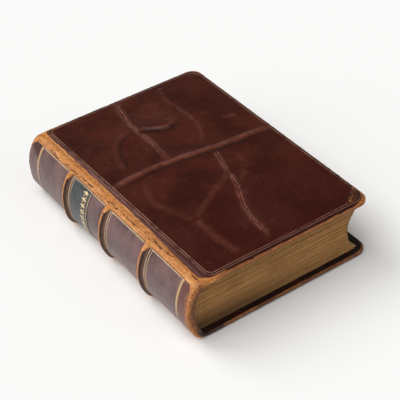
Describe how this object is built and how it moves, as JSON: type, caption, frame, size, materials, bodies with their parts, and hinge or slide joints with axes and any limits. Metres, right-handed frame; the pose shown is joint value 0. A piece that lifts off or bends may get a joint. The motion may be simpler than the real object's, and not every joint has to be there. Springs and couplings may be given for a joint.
{
  "type": "prayer book",
  "caption": "Closed leather-bound prayer book with a rounded back, raised bands, a spine label, creased covers, an opening front board and leaves that turn.",
  "frame": {"origin": "middle of the book's footprint, on the surface that the back board lies on", "axes": "+X from the spine to the fore-edge, +Y from the tail to the head, +Z from the back board up to the front board"},
  "size_m": [0.1408, 0.19, 0.043],
  "materials": {
    "cover_leather": "dark chestnut calf, semi-gloss, creased and worn at the edges",
    "spine_leather": "faded purple-brown calf with a soft sheen, tan where rubbed",
    "joint_leather": "rubbed bare, matt tan with dark cracks",
    "label_leather": "thin slate-black skiver, satin",
    "gilt": "pale worn gold leaf",
    "millboard": "pressed brown fibre board",
    "paper": "aged rag paper, mottled golden brown at the edges",
    "lining_paper": "coarse brown paper",
    "mull": "open cotton gauze",
    "cord": "twisted hemp",
    "thread": "waxed linen thread",
    "silk": "faded silk"
  },
  "bodies": {
    "back_cover": {"back_board": "millboard", "back_cord_slips": "cord", "back_cover_leather": "cover_leather", "back_pastedown": "paper"},
    "text_block": {"section_01": "paper", "section_02": "paper", "section_03": "paper", "section_04": "paper", "section_05": "paper", "section_06": "paper", "section_07": "paper", "section_08": "paper", "section_09": "paper", "section_10": "paper", "section_11": "paper", "section_12": "paper", "front_flyleaf_fold": "paper", "front_leaves_1_fold": "paper", "front_leaves_2_fold": "paper", "front_leaves_3_fold": "paper", "back_flyleaf_fold": "paper", "rear_leaves_1_fold": "paper", "rear_leaves_2_fold": "paper", "tail_sewing_cord": "cord", "middle_sewing_cord": "cord", "head_sewing_cord": "cord", "sewing_thread": "thread", "spine_mull": "mull", "spine_paper_lining": "lining_paper", "head_endband_core": "cord", "head_endband_silk": "silk", "tail_endband_core": "cord", "tail_endband_silk": "silk", "spine_leather": "spine_leather", "front_joint_leather": "joint_leather", "back_joint_leather": "joint_leather", "title_label": "label_leather", "label_gilt": "gilt", "spine_gilt_fillets": "gilt"},
    "front_cover": {"front_board": "millboard", "front_cord_slips": "cord", "front_cover_leather": "cover_leather", "front_pastedown": "paper"},
    "front_flyleaf_turning": {"front_flyleaf": "paper"},
    "front_leaves_1_turning": {"front_leaves_1": "paper"},
    "front_leaves_2_turning": {"front_leaves_2": "paper"},
    "front_leaves_3_turning": {"front_leaves_3": "paper"},
    "back_flyleaf_turning": {"back_flyleaf": "paper"},
    "rear_leaves_1_turning": {"rear_leaves_1": "paper"},
    "rear_leaves_2_turning": {"rear_leaves_2": "paper"}
  },
  "joints": [
    {"name": "back_joint", "type": "hinge", "parent": "back_cover", "child": "text_block", "pos_m": [-0.0543, 0, 0], "axis": [0, 1, 0], "range_deg": [-90, 0]},
    {"name": "front_joint", "type": "hinge", "parent": "text_block", "child": "front_cover", "pos_m": [-0.0543, 0, 0.043], "axis": [0, -1, 0], "range_deg": [0, 180]},
    {"name": "front_flyleaf_turn", "type": "hinge", "parent": "text_block", "child": "front_flyleaf_turning", "pos_m": [-0.0543, 0, 0.043], "axis": [0, -1, 0], "range_deg": [0, 169.2]},
    {"name": "front_leaves_1_turn", "type": "hinge", "parent": "text_block", "child": "front_leaves_1_turning", "pos_m": [-0.0543, 0, 0.043], "axis": [0, -1, 0], "range_deg": [0, 154.8]},
    {"name": "front_leaves_2_turn", "type": "hinge", "parent": "text_block", "child": "front_leaves_2_turning", "pos_m": [-0.0543, 0, 0.043], "axis": [0, -1, 0], "range_deg": [0, 122.4]},
    {"name": "front_leaves_3_turn", "type": "hinge", "parent": "text_block", "child": "front_leaves_3_turning", "pos_m": [-0.0543, 0, 0.043], "axis": [0, -1, 0], "range_deg": [0, 68.4]},
    {"name": "back_flyleaf_turn", "type": "hinge", "parent": "text_block", "child": "back_flyleaf_turning", "pos_m": [-0.0543, 0, 0], "axis": [0, 1, 0], "range_deg": [0, 82.8]},
    {"name": "rear_leaves_1_turn", "type": "hinge", "parent": "text_block", "child": "rear_leaves_1_turning", "pos_m": [-0.0543, 0, 0], "axis": [0, 1, 0], "range_deg": [0, 73.8]},
    {"name": "rear_leaves_2_turn", "type": "hinge", "parent": "text_block", "child": "rear_leaves_2_turning", "pos_m": [-0.0543, 0, 0], "axis": [0, 1, 0], "range_deg": [0, 54]}
  ],
  "couplings": [
    {"joint": "front_flyleaf_turn", "follows": "front_joint", "ratio": 0.94},
    {"joint": "front_leaves_1_turn", "follows": "front_joint", "ratio": 0.86},
    {"joint": "front_leaves_2_turn", "follows": "front_joint", "ratio": 0.68},
    {"joint": "front_leaves_3_turn", "follows": "front_joint", "ratio": 0.38},
    {"joint": "back_flyleaf_turn", "follows": "back_joint", "ratio": -0.92},
    {"joint": "rear_leaves_1_turn", "follows": "back_joint", "ratio": -0.82},
    {"joint": "rear_leaves_2_turn", "follows": "back_joint", "ratio": -0.6}
  ]
}
